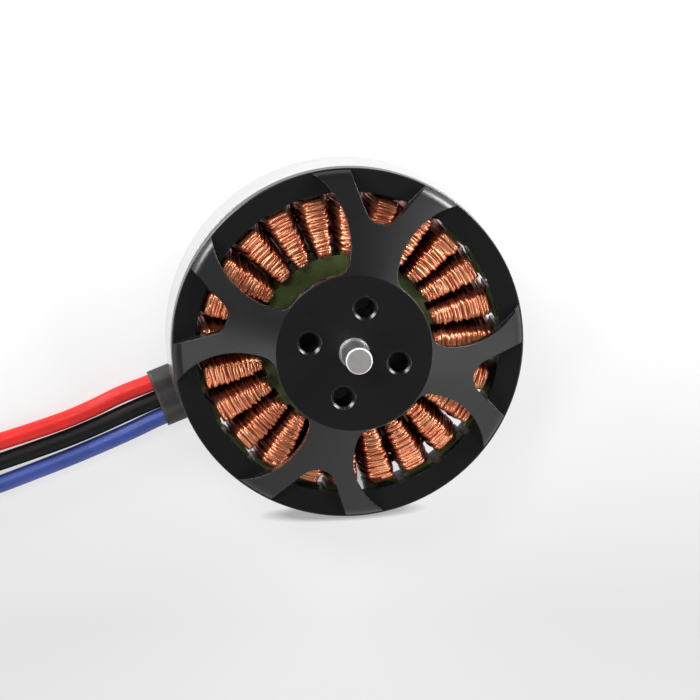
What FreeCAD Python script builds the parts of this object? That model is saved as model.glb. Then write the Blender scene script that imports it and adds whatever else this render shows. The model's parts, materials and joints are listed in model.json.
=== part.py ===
import FreeCAD, Part

# Flat brushless outrunner motor. Millimetres, +Z along the shaft towards the propeller.
# The origin is the centre of the mounting face.
import math
import os

import Sketcher
from FreeCAD import Placement, Rotation, Vector

SIZES = {
    # bell
    "rotor_radius": 23.0,
    "ring_inner_radius": 19.9,
    "ring_edge_radius": 22.9,
    "ring_bottom": 13.4,
    "ring_edge": 15.2,
    "ring_top": 15.3,
    "cone_rim": 15.71,
    "rim_rounding": 2.4,
    "hub_radius": 10.2,
    "hub_top": 23.1,
    "boss_radius": 8.0,
    "boss_bottom": 16.6,
    "bell_nose_radius": 3.0,
    "bell_nose_bottom": 15.1,
    "arm_root_underside": 21.9,
    "arm_bend_radius": 10.6,
    "arm_bend_underside": 21.7,
    "arm_rim_underside": 15.4,
    "bell_angle": 31.5,
    "window_count": 4,
    "window_inner_radius": 10.35,
    "window_corner": 2.0,
    "window_side_radius": 9.65,
    "window_side_along": 17.219,
    "window_side_across": 0.953,
    "window_beyond": 23.7,
    "slot_centre": 19.0,
    "slot_rounding": 2.5,
    "slot_beyond": 24.2,
    "slot_half_width": 6.35,
    "prop_circle_radius": 6.0,
    "prop_hole_radius": 1.25,
    "prop_hole_depth": 7.0,
    "prop_hole_chamfer": 0.35,
    # magnet ring
    "flux_inner_radius": 21.8,
    "flux_edge_radius": 22.8,
    "flux_bottom": 5.5,
    "flux_edge": 5.7,
    "magnet_inner_radius": 20.3,
    "magnet_bottom": 5.9,
    "magnet_top": 13.1,
    "magnet_pairs": 11,
    "magnet_angle": 14.6,
    # shaft, clip and washer
    "shaft_radius": 2.0,
    "shaft_bottom": 0.1,
    "shaft_edge": 0.3,
    "shaft_edge_radius": 1.8,
    "clip_groove_radius": 1.6,
    "clip_groove_bottom": 0.75,
    "clip_groove_top": 1.15,
    "clip_inner_radius": 1.62,
    "clip_outer_radius": 3.2,
    "clip_bottom": 0.78,
    "clip_top": 1.12,
    "clip_angle": 290.0,
    "nose_radius": 1.75,
    "nose_edge": 29.0,
    "nose_tip_radius": 1.55,
    "nose_top": 29.2,
    "shim_bore": 2.0,
    "shim_radius": 2.7,
    "shim_bottom": 14.6,
    "shim_top": 15.1,
    # bearings
    "race_bore": 2.0,
    "inner_race_radius": 2.75,
    "outer_race_bore": 3.75,
    "bearing_radius": 4.5,
    "ball_circle": 3.25,
    "ball_radius": 0.72,
    "ball_track": 0.76,
    "ball_count": 7,
    "shield_bore": 2.85,
    "lower_bottom": 1.2,
    "lower_shield_a": 1.3,
    "lower_shield_b": 1.45,
    "lower_balls_level": 3.2,
    "lower_shield_c": 4.95,
    "lower_shield_d": 5.1,
    "lower_top": 5.2,
    "upper_bottom": 10.6,
    "upper_shield_a": 10.7,
    "upper_shield_b": 10.85,
    "upper_balls_level": 12.6,
    "upper_shield_c": 14.35,
    "upper_shield_d": 14.5,
    "upper_top": 14.6,
    # mounting spider with its bearing tube
    "base_bottom": 0.0,
    "base_radius": 11.0,
    "base_thickness": 3.2,
    "tube_shoulder_radius": 9.4,
    "core_seat": 6.4,
    "core_bore": 8.6,
    "core_seat_top": 13.0,
    "tube_radius": 6.3,
    "tube_waist": 3.6,
    "foot_start": 9.0,
    "foot_circle_radius": 12.5,
    "foot_radius": 3.2,
    "foot_hole_radius": 1.25,
    "foot_count": 4,
    "base_angle": 67.2,
    # stator core
    "core_height": 6.4,
    "yoke_radius": 11.2,
    "tooth_root": 10.9,
    "tooth_half_width": 0.9,
    "tooth_neck": 19.3,
    "tip_start": 19.5,
    "tip_half_width": 2.1,
    "tip_corner": 19.934,
    "tip_corner_half": 2.15,
    "core_radius": 20.05,
    "tooth_count": 24,
    "tooth_angle": -1.2,
    # windings
    "coil_start": 11.4,
    "coil_end": 19.25,
    "coil_start_half": 1.45,
    "coil_mid": 15.2,
    "coil_mid_half": 1.97,
    "coil_end_half": 2.17,
    "coil_bottom": 4.3,
    "coil_height": 10.6,
    "coil_rounding": 1.35,
    "coil_window_half": 0.95,
    "coil_window_bottom": 6.35,
    "coil_window_top": 12.85,
    # leads
    "lead_radius": 1.15,
    "lead_level": 1.85,
    "lead_angle": 201.6,
    "lead_pitch": 2.3,
    "lead_start": 14.3,
    "sleeve_start": 14.5,
    "sleeve_length": 11.0,
    "sleeve_half_flat": 2.3,
    "sleeve_radius": 1.55,
    "sleeve_bore": 1.15,
    "tail_radius": 0.6,
    "tail_place": 12.6,
    "tail_bend": 1.0,
    # bullet plugs, measured from the back end of their covers
    "plug_start": 5.0,
    "plug_cup_radius": 2.0,
    "plug_cup_end": 11.0,
    "plug_neck_radius": 1.35,
    "plug_collar_start": 11.5,
    "plug_collar_end": 12.1,
    "plug_bulge_start": 12.9,
    "plug_bulge_radius": 1.78,
    "plug_bulge_end": 17.2,
    "plug_tip_start": 18.0,
    "plug_tip_radius": 1.0,
    "plug_end": 18.7,
    "cover_start": 0.0,
    "cover_bore": 1.16,
    "cover_neck_radius": 1.5,
    "cover_swell": 4.0,
    "cover_radius": 2.35,
    "cover_full": 5.2,
    "cover_cup_bore": 2.02,
    "cover_end": 10.6,
}

# Each lead after it leaves the sleeve: where it is along X, Y and up.
LEAD_ROUTES = {
    "red": [
        (-28.6, -8.75, 1.5),
        (-32.2, -10.65, 1.15),
        (-37.0, -12.6, 1.15),
        (-51.6, -17.0, 1.15),
        (-66.4, -18.2, 1.15),
        (-81.2, -15.4, 1.15),
        (-95.9, -11.4, 2.35),
        (-109.5, -9.4, 2.35),
    ],
    "black": [
        (-27.7, -11.15, 1.5),
        (-31.6, -13.0, 1.15),
        (-36.6, -15.0, 1.15),
        (-50.8, -19.6, 1.15),
        (-65.9, -21.5, 1.15),
        (-80.9, -19.6, 1.15),
        (-96.3, -17.0, 2.35),
        (-110.6, -16.4, 2.35),
    ],
    "blue": [
        (-26.6, -13.4, 1.5),
        (-30.8, -15.3, 1.15),
        (-36.2, -17.5, 1.15),
        (-50.1, -22.6, 1.15),
        (-65.3, -24.7, 1.15),
        (-80.8, -24.2, 1.15),
        (-95.4, -23.0, 2.35),
        (-108.9, -23.2, 2.35),
    ],
}
LEAD_BEND_START = 25.8
LEAD_SIDES = {"red": 1.0, "black": 0.0, "blue": -1.0}

UP = Vector(0, 0, 1)
ORIGIN = Vector(0, 0, 0)

DOC = FreeCAD.newDocument("outrunner_motor")
SHEET = DOC.addObject("Spreadsheet::Sheet", "Dims")
SUB_PARTS = []


def fill_sheet():
    for row, (name, size) in enumerate(SIZES.items(), start=1):
        SHEET.set(f"A{row}", name)
        SHEET.set(f"B{row}", str(size))
        SHEET.setAlias(f"B{row}", name)
    DOC.recompute()


def new_body(label):
    body = DOC.addObject("PartDesign::Body", label)
    body.Label = label
    body.AllowCompound = True
    SUB_PARTS.append(body)
    return body


def origin_item(body, role):
    return next(item for item in body.Origin.OriginFeatures if item.Role == role)


def new_sketch(body, name, role="XY_Plane", level=None, turn=0.0):
    """Sketch on one of the body's own planes, lifted along its normal by a size."""
    sketch = body.newObject("Sketcher::SketchObject", name)
    sketch.AttachmentSupport = [(origin_item(body, role), "")]
    sketch.MapMode = "FlatFace"
    sketch.AttachmentOffset = Placement(ORIGIN, Rotation(UP, turn))
    if level:
        sketch.setExpression("AttachmentOffset.Base.z", f"Dims.{level}")
    return sketch


def tie(sketch, constraint, name):
    """Add a constraint whose value is the named size."""
    index = sketch.addConstraint(constraint)
    sketch.setExpression(f"Constraints[{index}]", f"Dims.{name}")


def signed(name):
    return -SIZES[name[1:]] if name.startswith("-") else SIZES[name]


def place_point(sketch, item, point, direction, name):
    """Fix a point's distance from the sketch's origin; a leading - means the other side."""
    if signed(name) == 0:
        axis = -2 if direction == "DistanceX" else -1
        sketch.addConstraint(Sketcher.Constraint("PointOnObject", item, point, axis))
    elif name.startswith("-"):
        size = SIZES[name[1:]]
        tie(sketch, Sketcher.Constraint(direction, item, point, -1, 1, size), name[1:])
    else:
        tie(sketch, Sketcher.Constraint(direction, -1, 1, item, point, SIZES[name]), name)


def outline(sketch, corners):
    """Closed outline of straight sides; each corner is a pair of size names."""
    first = sketch.GeometryCount
    count = len(corners)
    spots = [Vector(signed(across), signed(along), 0) for across, along in corners]
    for i in range(count):
        sketch.addGeometry(Part.LineSegment(spots[i], spots[(i + 1) % count]), False)
    for i in range(count):
        ends = (first + i, 2, first + (i + 1) % count, 1)
        sketch.addConstraint(Sketcher.Constraint("Coincident", *ends))
    for i, (across, along) in enumerate(corners):
        place_point(sketch, first + i, 1, "DistanceX", across)
        place_point(sketch, first + i, 1, "DistanceY", along)


def circle(sketch, centre_name, radius_name, height_name="base_bottom"):
    centre = Vector(signed(centre_name), signed(height_name), 0)
    shape = Part.Circle(centre, UP, SIZES[radius_name])
    item = sketch.addGeometry(shape, False)
    tie(sketch, Sketcher.Constraint("Radius", item, SIZES[radius_name]), radius_name)
    place_point(sketch, item, 3, "DistanceX", centre_name)
    place_point(sketch, item, 3, "DistanceY", height_name)


def arc(centre, radius, start, end):
    """Arc counter-clockwise from the point start to the point end."""
    angles = [math.atan2(p.y - centre.y, p.x - centre.x) for p in (start, end)]
    if angles[1] <= angles[0]:
        angles[1] += 2 * math.pi
    return Part.ArcOfCircle(Part.Circle(centre, UP, radius), *angles)


def revolution(body, sketch, name, axis="V_Axis", angle_name=None):
    feature = body.newObject("PartDesign::Revolution", name)
    feature.Profile = sketch
    feature.ReferenceAxis = (sketch, [axis])
    feature.Angle = 360
    if angle_name:
        feature.setExpression("Angle", f"Dims.{angle_name}")
    return feature


def pad(body, sketch, name, length_name):
    feature = body.newObject("PartDesign::Pad", name)
    feature.Profile = sketch
    feature.setExpression("Length", f"Dims.{length_name}")
    return feature


def pocket_through(body, sketch, name):
    """Cut away from the sketch along its normal, through everything."""
    feature = body.newObject("PartDesign::Pocket", name)
    feature.Profile = sketch
    feature.Type = "ThroughAll"
    feature.Reversed = True
    return feature


def around_axis(body, feature, name, count_name):
    pattern = body.newObject("PartDesign::PolarPattern", name)
    pattern.Originals = [feature]
    pattern.Axis = (origin_item(body, "Z_Axis"), [""])
    pattern.Angle = 360
    pattern.setExpression("Occurrences", f"Dims.{count_name}")
    body.Tip = pattern
    return pattern


def turned(label, corners, axis="V_Axis", angle_name=None):
    """Body made by turning one outline round the shaft axis."""
    body = new_body(label)
    sketch = new_sketch(body, f"{label}_profile", "XZ_Plane")
    outline(sketch, corners)
    revolution(body, sketch, f"{label}_turned", axis, angle_name)
    return body


def edges_where(shape, test):
    return [f"Edge{i}" for i, edge in enumerate(shape.Edges, start=1) if test(edge)]


def is_ring_edge(edge, radius, level):
    """True for a full or partial circle of this radius in the plane at this height."""
    round_edge = isinstance(edge.Curve, Part.Circle)
    return (
        round_edge
        and abs(edge.Curve.Radius - radius) < 0.01
        and abs(edge.Curve.Center.z - level) < 0.01
    )


def big_window_outline(sketch):
    """Window between two arms: hub arc, two rounded corners, two bowed sides."""
    hub, corner, side = (
        SIZES[n] for n in ("window_inner_radius", "window_corner", "window_side_radius")
    )
    beyond = SIZES["window_beyond"]
    side_low = Vector(SIZES["window_side_along"], SIZES["window_side_across"], 0)
    reach = side_low.Length
    cosine = (hub + corner) ** 2 + reach**2 - (side - corner) ** 2
    swing = math.acos(cosine / (2 * (hub + corner) * reach))
    angle = math.atan2(side_low.y, side_low.x) - swing
    corner_low = Vector(math.cos(angle), math.sin(angle), 0) * (hub + corner)
    meet_hub = corner_low * (hub / (hub + corner))
    meet_side = side_low + (corner_low - side_low).normalize() * side
    drop = math.sqrt(side**2 - (beyond - side_low.x) ** 2)
    end_low = Vector(beyond, side_low.y - drop, 0)

    def mirror(spot):
        return Vector(spot.x, -spot.y, 0)

    pieces = [
        arc(ORIGIN, hub, meet_hub, mirror(meet_hub)),
        arc(corner_low, corner, meet_hub, meet_side),
        arc(side_low, side, meet_side, end_low),
        Part.LineSegment(end_low, mirror(end_low)),
        arc(mirror(side_low), side, mirror(end_low), mirror(meet_side)),
        arc(mirror(corner_low), corner, mirror(meet_side), mirror(meet_hub)),
    ]
    for piece in pieces:
        sketch.addGeometry(piece, False)
    joins = [
        ("Tangent", 0, 1, 1, 1),
        ("Tangent", 1, 2, 2, 1),
        ("Coincident", 2, 2, 3, 1),
        ("Coincident", 3, 2, 4, 1),
        ("Tangent", 4, 2, 5, 1),
        ("Tangent", 5, 2, 0, 2),
        ("Coincident", 0, 3, -1, 1),
        ("Equal", 1, 5),
        ("Equal", 2, 4),
        ("Vertical", 3),
    ]
    for join in joins:
        sketch.addConstraint(Sketcher.Constraint(*join))
    tie(sketch, Sketcher.Constraint("Radius", 0, hub), "window_inner_radius")
    tie(sketch, Sketcher.Constraint("Radius", 1, corner), "window_corner")
    tie(sketch, Sketcher.Constraint("Radius", 2, side), "window_side_radius")
    place_point(sketch, 2, 3, "DistanceX", "window_side_along")
    place_point(sketch, 2, 3, "DistanceY", "window_side_across")
    place_point(sketch, 4, 3, "DistanceX", "window_side_along")
    place_point(sketch, 4, 3, "DistanceY", "-window_side_across")
    place_point(sketch, 3, 1, "DistanceX", "window_beyond")


def small_window_outline(sketch):
    """Window in the fork of an arm: a rounded V that opens towards the rim."""
    centre = Vector(SIZES["slot_centre"], 0, 0)
    radius = SIZES["slot_rounding"]
    far = Vector(SIZES["slot_beyond"], SIZES["slot_half_width"], 0)
    to_far = far - centre
    lean = math.atan2(to_far.y, to_far.x) + math.acos(radius / to_far.Length)
    touch = centre + Vector(math.cos(lean), math.sin(lean), 0) * radius
    low_touch = Vector(touch.x, -touch.y, 0)
    low_far = Vector(far.x, -far.y, 0)
    sketch.addGeometry(arc(centre, radius, touch, low_touch), False)
    sketch.addGeometry(Part.LineSegment(low_touch, low_far), False)
    sketch.addGeometry(Part.LineSegment(low_far, far), False)
    sketch.addGeometry(Part.LineSegment(far, touch), False)
    joins = [
        ("Tangent", 0, 2, 1, 1),
        ("Coincident", 1, 2, 2, 1),
        ("Coincident", 2, 2, 3, 1),
        ("Tangent", 3, 2, 0, 1),
    ]
    for join in joins:
        sketch.addConstraint(Sketcher.Constraint(*join))
    tie(sketch, Sketcher.Constraint("Radius", 0, radius), "slot_rounding")
    place_point(sketch, 0, 3, "DistanceX", "slot_centre")
    place_point(sketch, 0, 3, "DistanceY", "base_bottom")
    place_point(sketch, 2, 1, "DistanceX", "slot_beyond")
    place_point(sketch, 2, 1, "DistanceY", "-slot_half_width")
    place_point(sketch, 2, 2, "DistanceX", "slot_beyond")
    place_point(sketch, 2, 2, "DistanceY", "slot_half_width")


def make_bell():
    body = turned(
        "bell",
        [
            ("shaft_radius", "bell_nose_bottom"),
            ("bell_nose_radius", "bell_nose_bottom"),
            ("bell_nose_radius", "boss_bottom"),
            ("boss_radius", "boss_bottom"),
            ("boss_radius", "arm_root_underside"),
            ("arm_bend_radius", "arm_bend_underside"),
            ("ring_inner_radius", "arm_rim_underside"),
            ("ring_inner_radius", "ring_bottom"),
            ("rotor_radius", "ring_bottom"),
            ("rotor_radius", "cone_rim"),
            ("hub_radius", "hub_top"),
            ("shaft_radius", "hub_top"),
        ],
    )
    DOC.recompute()
    whole = body.Tip
    rim = body.newObject("PartDesign::Fillet", "bell_rim")
    names = edges_where(
        whole.Shape, lambda e: is_ring_edge(e, SIZES["rotor_radius"], SIZES["cone_rim"])
    )
    rim.Base = (whole, names)
    rim.setExpression("Radius", "Dims.rim_rounding")
    DOC.recompute()
    solid_volume = body.Shape.Volume

    sketch = new_sketch(body, "bell_window_outline")
    big_window_outline(sketch)
    window = pocket_through(body, sketch, "bell_window")
    around_axis(body, window, "bell_windows", "window_count")
    sketch = new_sketch(body, "bell_slot_outline", turn=45.0)
    small_window_outline(sketch)
    slot = pocket_through(body, sketch, "bell_slot")
    around_axis(body, slot, "bell_slots", "window_count")

    sketch = new_sketch(body, "bell_ring_profile", "XZ_Plane")
    outline(
        sketch,
        [
            ("ring_inner_radius", "ring_bottom"),
            ("rotor_radius", "ring_bottom"),
            ("rotor_radius", "ring_edge"),
            ("ring_edge_radius", "ring_top"),
            ("ring_inner_radius", "ring_top"),
        ],
    )
    revolution(body, sketch, "bell_ring")

    sketch = new_sketch(body, "bell_hole_outline", level="hub_top", turn=45.0)
    circle(sketch, "prop_circle_radius", "prop_hole_radius")
    hole = body.newObject("PartDesign::Pocket", "bell_hole")
    hole.Profile = sketch
    hole.setExpression("Length", "Dims.prop_hole_depth")
    pattern = around_axis(body, hole, "bell_holes", "window_count")
    DOC.recompute()
    mouths = edges_where(
        pattern.Shape,
        lambda e: is_ring_edge(e, SIZES["prop_hole_radius"], SIZES["hub_top"]),
    )
    edge = body.newObject("PartDesign::Chamfer", "bell_hole_edges")
    edge.Base = (pattern, mouths)
    edge.setExpression("Size", "Dims.prop_hole_chamfer")
    body.Placement = Placement(ORIGIN, Rotation(UP, SIZES["bell_angle"]))
    DOC.recompute()
    print("bell windows remove", round(solid_volume - body.Shape.Volume), "mm3")


def make_magnets(label, turn):
    """Every second magnet of the ring, as separate solids."""
    body = turned(
        label,
        [
            ("magnet_inner_radius", "magnet_bottom"),
            ("flux_inner_radius", "magnet_bottom"),
            ("flux_inner_radius", "magnet_top"),
            ("magnet_inner_radius", "magnet_top"),
        ],
        angle_name="magnet_angle",
    )
    around_axis(body, body.Tip, f"{label}_round", "magnet_pairs")
    body.Placement = Placement(ORIGIN, Rotation(UP, turn))


def make_rotor_turned_parts():
    turned(
        "flux_ring",
        [
            ("flux_inner_radius", "flux_bottom"),
            ("flux_edge_radius", "flux_bottom"),
            ("rotor_radius", "flux_edge"),
            ("rotor_radius", "ring_bottom"),
            ("flux_inner_radius", "ring_bottom"),
        ],
    )
    turned(
        "shaft",
        [
            ("base_bottom", "shaft_bottom"),
            ("shaft_edge_radius", "shaft_bottom"),
            ("shaft_radius", "shaft_edge"),
            ("shaft_radius", "clip_groove_bottom"),
            ("clip_groove_radius", "clip_groove_bottom"),
            ("clip_groove_radius", "clip_groove_top"),
            ("shaft_radius", "clip_groove_top"),
            ("shaft_radius", "hub_top"),
            ("nose_radius", "hub_top"),
            ("nose_radius", "nose_edge"),
            ("nose_tip_radius", "nose_top"),
            ("base_bottom", "nose_top"),
        ],
    )
    turned(
        "circlip",
        [
            ("clip_inner_radius", "clip_bottom"),
            ("clip_outer_radius", "clip_bottom"),
            ("clip_outer_radius", "clip_top"),
            ("clip_inner_radius", "clip_top"),
        ],
        angle_name="clip_angle",
    )
    turned(
        "shim",
        [
            ("shim_bore", "shim_bottom"),
            ("shim_radius", "shim_bottom"),
            ("shim_radius", "shim_top"),
            ("shim_bore", "shim_top"),
        ],
    )


def make_race(label, inner, outer, where):
    """Bearing ring with its ball track."""
    bottom, top, level = f"{where}_bottom", f"{where}_top", f"{where}_balls_level"
    body = turned(label, [(inner, bottom), (outer, bottom), (outer, top), (inner, top)])
    sketch = new_sketch(body, f"{label}_track_outline", "XZ_Plane")
    circle(sketch, "ball_circle", "ball_track", level)
    track = body.newObject("PartDesign::Groove", f"{label}_track")
    track.Profile = sketch
    track.ReferenceAxis = (sketch, ["V_Axis"])
    track.Angle = 360


def make_shields(label, where):
    body = new_body(label)
    sketch = new_sketch(body, f"{label}_profile", "XZ_Plane")
    for low, high in (("a", "b"), ("c", "d")):
        bottom, top = f"{where}_shield_{low}", f"{where}_shield_{high}"
        corners = [("shield_bore", bottom), ("outer_race_bore", bottom)]
        corners += [("outer_race_bore", top), ("shield_bore", top)]
        outline(sketch, corners)
    revolution(body, sketch, f"{label}_turned")


def make_balls(label, level_name):
    balls = []
    for i in range(SIZES["ball_count"]):
        ball = DOC.addObject("Part::Sphere", f"{label}_{i + 1}")
        ball.setExpression("Radius", "Dims.ball_radius")
        angle = 2 * math.pi * i / SIZES["ball_count"]
        across = Vector(math.cos(angle), math.sin(angle), 0) * SIZES["ball_circle"]
        ball.Placement = Placement(across + UP * SIZES[level_name], Rotation())
        balls.append(ball)
    fuse = DOC.addObject("Part::MultiFuse", label)
    fuse.Label = label
    fuse.Shapes = balls
    SUB_PARTS.append(fuse)


def make_bearing(where):
    make_race(f"{where}_race_inner", "race_bore", "inner_race_radius", where)
    make_race(f"{where}_race_outer", "outer_race_bore", "bearing_radius", where)
    make_shields(f"{where}_shields", where)
    make_balls(f"{where}_balls", f"{where}_balls_level")


def foot_outline(sketch):
    """Foot of the spider: straight sides that end in a half circle."""
    start, centre, radius = (
        SIZES[n] for n in ("foot_start", "foot_circle_radius", "foot_radius")
    )
    low, high = Vector(centre, -radius, 0), Vector(centre, radius, 0)
    root_low, root_high = Vector(start, -radius, 0), Vector(start, radius, 0)
    sketch.addGeometry(arc(Vector(centre, 0, 0), radius, low, high), False)
    sketch.addGeometry(Part.LineSegment(high, root_high), False)
    sketch.addGeometry(Part.LineSegment(root_high, root_low), False)
    sketch.addGeometry(Part.LineSegment(root_low, low), False)
    joins = [
        ("Tangent", 0, 2, 1, 1),
        ("Coincident", 1, 2, 2, 1),
        ("Coincident", 2, 2, 3, 1),
        ("Tangent", 3, 2, 0, 1),
        ("Horizontal", 1),
        ("Vertical", 2),
        ("Horizontal", 3),
    ]
    for join in joins:
        sketch.addConstraint(Sketcher.Constraint(*join))
    tie(sketch, Sketcher.Constraint("Radius", 0, radius), "foot_radius")
    place_point(sketch, 0, 3, "DistanceX", "foot_circle_radius")
    place_point(sketch, 0, 3, "DistanceY", "base_bottom")
    place_point(sketch, 2, 1, "DistanceX", "foot_start")


def make_base():
    body = turned(
        "stator_base",
        [
            ("bearing_radius", "base_bottom"),
            ("base_radius", "base_bottom"),
            ("base_radius", "base_thickness"),
            ("tube_shoulder_radius", "base_thickness"),
            ("tube_shoulder_radius", "core_seat"),
            ("core_bore", "core_seat"),
            ("core_bore", "core_seat_top"),
            ("tube_radius", "core_seat_top"),
            ("tube_radius", "upper_top"),
            ("bearing_radius", "upper_top"),
            ("bearing_radius", "upper_bottom"),
            ("tube_waist", "upper_bottom"),
            ("tube_waist", "lower_top"),
            ("bearing_radius", "lower_top"),
        ],
    )
    sketch = new_sketch(body, "base_foot_outline")
    foot_outline(sketch)
    foot = pad(body, sketch, "base_foot", "base_thickness")
    around_axis(body, foot, "base_feet", "foot_count")
    sketch = new_sketch(body, "base_hole_outline")
    circle(sketch, "foot_circle_radius", "foot_hole_radius")
    hole = pocket_through(body, sketch, "base_hole")
    around_axis(body, hole, "base_holes", "foot_count")
    body.Placement = Placement(ORIGIN, Rotation(UP, SIZES["base_angle"]))


def tooth_outline(sketch):
    """One tooth of the core with its wide tip, whose face lies on the core's radius."""
    corners = [
        ("tip_corner", "tip_corner_half"),
        ("tip_start", "tip_half_width"),
        ("tooth_neck", "tooth_half_width"),
        ("tooth_root", "tooth_half_width"),
        ("tooth_root", "-tooth_half_width"),
        ("tooth_neck", "-tooth_half_width"),
        ("tip_start", "-tip_half_width"),
        ("tip_corner", "-tip_corner_half"),
    ]
    spots = [Vector(signed(across), signed(along), 0) for across, along in corners]
    for here, there in zip(spots, spots[1:]):
        sketch.addGeometry(Part.LineSegment(here, there), False)
    face = sketch.addGeometry(
        arc(ORIGIN, SIZES["core_radius"], spots[-1], spots[0]), False
    )
    for i in range(face):
        other = i + 1
        sketch.addConstraint(Sketcher.Constraint("Coincident", i, 2, other, 1))
    sketch.addConstraint(Sketcher.Constraint("Coincident", face, 2, 0, 1))
    sketch.addConstraint(Sketcher.Constraint("Coincident", face, 3, -1, 1))
    tie(sketch, Sketcher.Constraint("Radius", face, SIZES["core_radius"]), "core_radius")
    for i, (across, along) in enumerate(corners[:-1]):
        if i:
            place_point(sketch, i, 1, "DistanceX", across)
        place_point(sketch, i, 1, "DistanceY", along)
    place_point(sketch, face, 1, "DistanceY", corners[-1][1])


def make_core():
    body = new_body("stator_core")
    sketch = new_sketch(body, "core_yoke_outline", level="core_seat")
    circle(sketch, "base_bottom", "yoke_radius")
    circle(sketch, "base_bottom", "core_bore")
    pad(body, sketch, "core_yoke", "core_height")
    sketch = new_sketch(body, "core_tooth_outline", level="core_seat")
    tooth_outline(sketch)
    tooth = pad(body, sketch, "core_tooth", "core_height")
    around_axis(body, tooth, "core_teeth", "tooth_count")
    body.Placement = Placement(ORIGIN, Rotation(UP, SIZES["tooth_angle"]))


def runs_outward(edge):
    """True for the four long outer edges of a winding."""
    across = edge.Vertexes[1].Point - edge.Vertexes[0].Point
    return abs(across.x) > 0.8 * (SIZES["coil_mid"] - SIZES["coil_start"])


def make_coil(index):
    label = f"coil_{index + 1:02d}"
    body = new_body(label)
    sketch = new_sketch(body, f"{label}_outline", level="coil_bottom")
    outline(
        sketch,
        [
            ("coil_start", "-coil_start_half"),
            ("coil_mid", "-coil_mid_half"),
            ("coil_end", "-coil_end_half"),
            ("coil_end", "coil_end_half"),
            ("coil_mid", "coil_mid_half"),
            ("coil_start", "coil_start_half"),
        ],
    )
    block = pad(body, sketch, f"{label}_block", "coil_height")
    DOC.recompute()
    bend = body.newObject("PartDesign::Fillet", f"{label}_bends")
    bend.Base = (block, edges_where(block.Shape, runs_outward))
    bend.setExpression("Radius", "Dims.coil_rounding")
    sketch = new_sketch(body, f"{label}_window_outline", "YZ_Plane")
    outline(
        sketch,
        [
            ("-coil_window_half", "coil_window_bottom"),
            ("coil_window_half", "coil_window_bottom"),
            ("coil_window_half", "coil_window_top"),
            ("-coil_window_half", "coil_window_top"),
        ],
    )
    pocket_through(body, sketch, f"{label}_window")
    turn = SIZES["tooth_angle"] + 360 * index / SIZES["tooth_count"]
    body.Placement = Placement(ORIGIN, Rotation(UP, turn))


def stadium(sketch, radius_name):
    """Two half circles joined by flat sides, its middle on the sketch's origin."""
    half, radius = SIZES["sleeve_half_flat"], SIZES[radius_name]
    first = sketch.GeometryCount
    right, left = Vector(half, 0, 0), Vector(-half, 0, 0)
    lift = Vector(0, radius, 0)
    sketch.addGeometry(arc(right, radius, right - lift, right + lift), False)
    sketch.addGeometry(Part.LineSegment(right + lift, left + lift), False)
    sketch.addGeometry(arc(left, radius, left + lift, left - lift), False)
    sketch.addGeometry(Part.LineSegment(left - lift, right - lift), False)
    for i in range(4):
        join = ("Tangent", first + i, 2, first + (i + 1) % 4, 1)
        sketch.addConstraint(Sketcher.Constraint(*join))
    tie(sketch, Sketcher.Constraint("Radius", first, radius), radius_name)
    place_point(sketch, first, 3, "DistanceX", "sleeve_half_flat")
    place_point(sketch, first, 3, "DistanceY", "base_bottom")
    place_point(sketch, first + 2, 3, "DistanceX", "-sleeve_half_flat")
    place_point(sketch, first + 2, 3, "DistanceY", "base_bottom")


def make_sleeve():
    body = new_body("lead_sleeve")
    sketch = new_sketch(body, "sleeve_outline", "YZ_Plane", level="sleeve_start")
    stadium(sketch, "sleeve_radius")
    stadium(sketch, "sleeve_bore")
    pad(body, sketch, "sleeve_wall", "sleeve_length")
    turn = Rotation(UP, SIZES["lead_angle"])
    body.Placement = Placement(UP * SIZES["lead_level"], turn)


def beside_sleeve_axis(distance, colour, level):
    """Point at this distance from the shaft on the line of one lead in the sleeve."""
    turn = Rotation(UP, SIZES["lead_angle"])
    across = -LEAD_SIDES[colour] * SIZES["lead_pitch"]
    return turn.multVec(Vector(distance, across, level))


def bent_path(points, radius=None):
    """Wire of straight runs joined by tangent arcs, with its length and least radius."""
    edges, last, smallest = [], points[0], 1e9
    for before, here, after in zip(points, points[1:], points[2:]):
        back, ahead = before - here, after - here
        half_turn = (math.pi - back.getAngle(ahead)) / 2
        shorter = min(back.Length, ahead.Length)
        bend = radius or 0.45 * shorter / math.tan(half_turn)
        reach = bend * math.tan(half_turn)
        start = here + back.normalize() * reach
        end = here + ahead.normalize() * reach
        middle_way = (back + ahead).normalize()
        middle = here + middle_way * (bend / math.cos(half_turn) - bend)
        edges.append(Part.LineSegment(last, start).toShape())
        edges.append(Part.Arc(start, middle, end).toShape())
        last, smallest = end, min(smallest, bend)
    edges.append(Part.LineSegment(last, points[-1]).toShape())
    wire = Part.Wire(edges)
    return wire, smallest


def make_tube(label, points, radius, bend=None):
    """Round tube along a bent path, checked against its section times its length."""
    wire, smallest = bent_path(points, bend)
    heading = points[1] - points[0]
    ring = Part.Wire(Part.makeCircle(radius, points[0], heading))
    tube = wire.makePipeShell([ring], True, False)
    feature = DOC.addObject("Part::Feature", label)
    feature.Label = label
    feature.Shape = tube
    feature.Placement = Placement()
    SUB_PARTS.append(feature)
    expected = math.pi * radius**2 * wire.Length
    print(
        label,
        "length", round(wire.Length, 1),
        "least radius", round(smallest, 1),
        "volume share", round(tube.Volume / expected, 4),
    )


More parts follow.
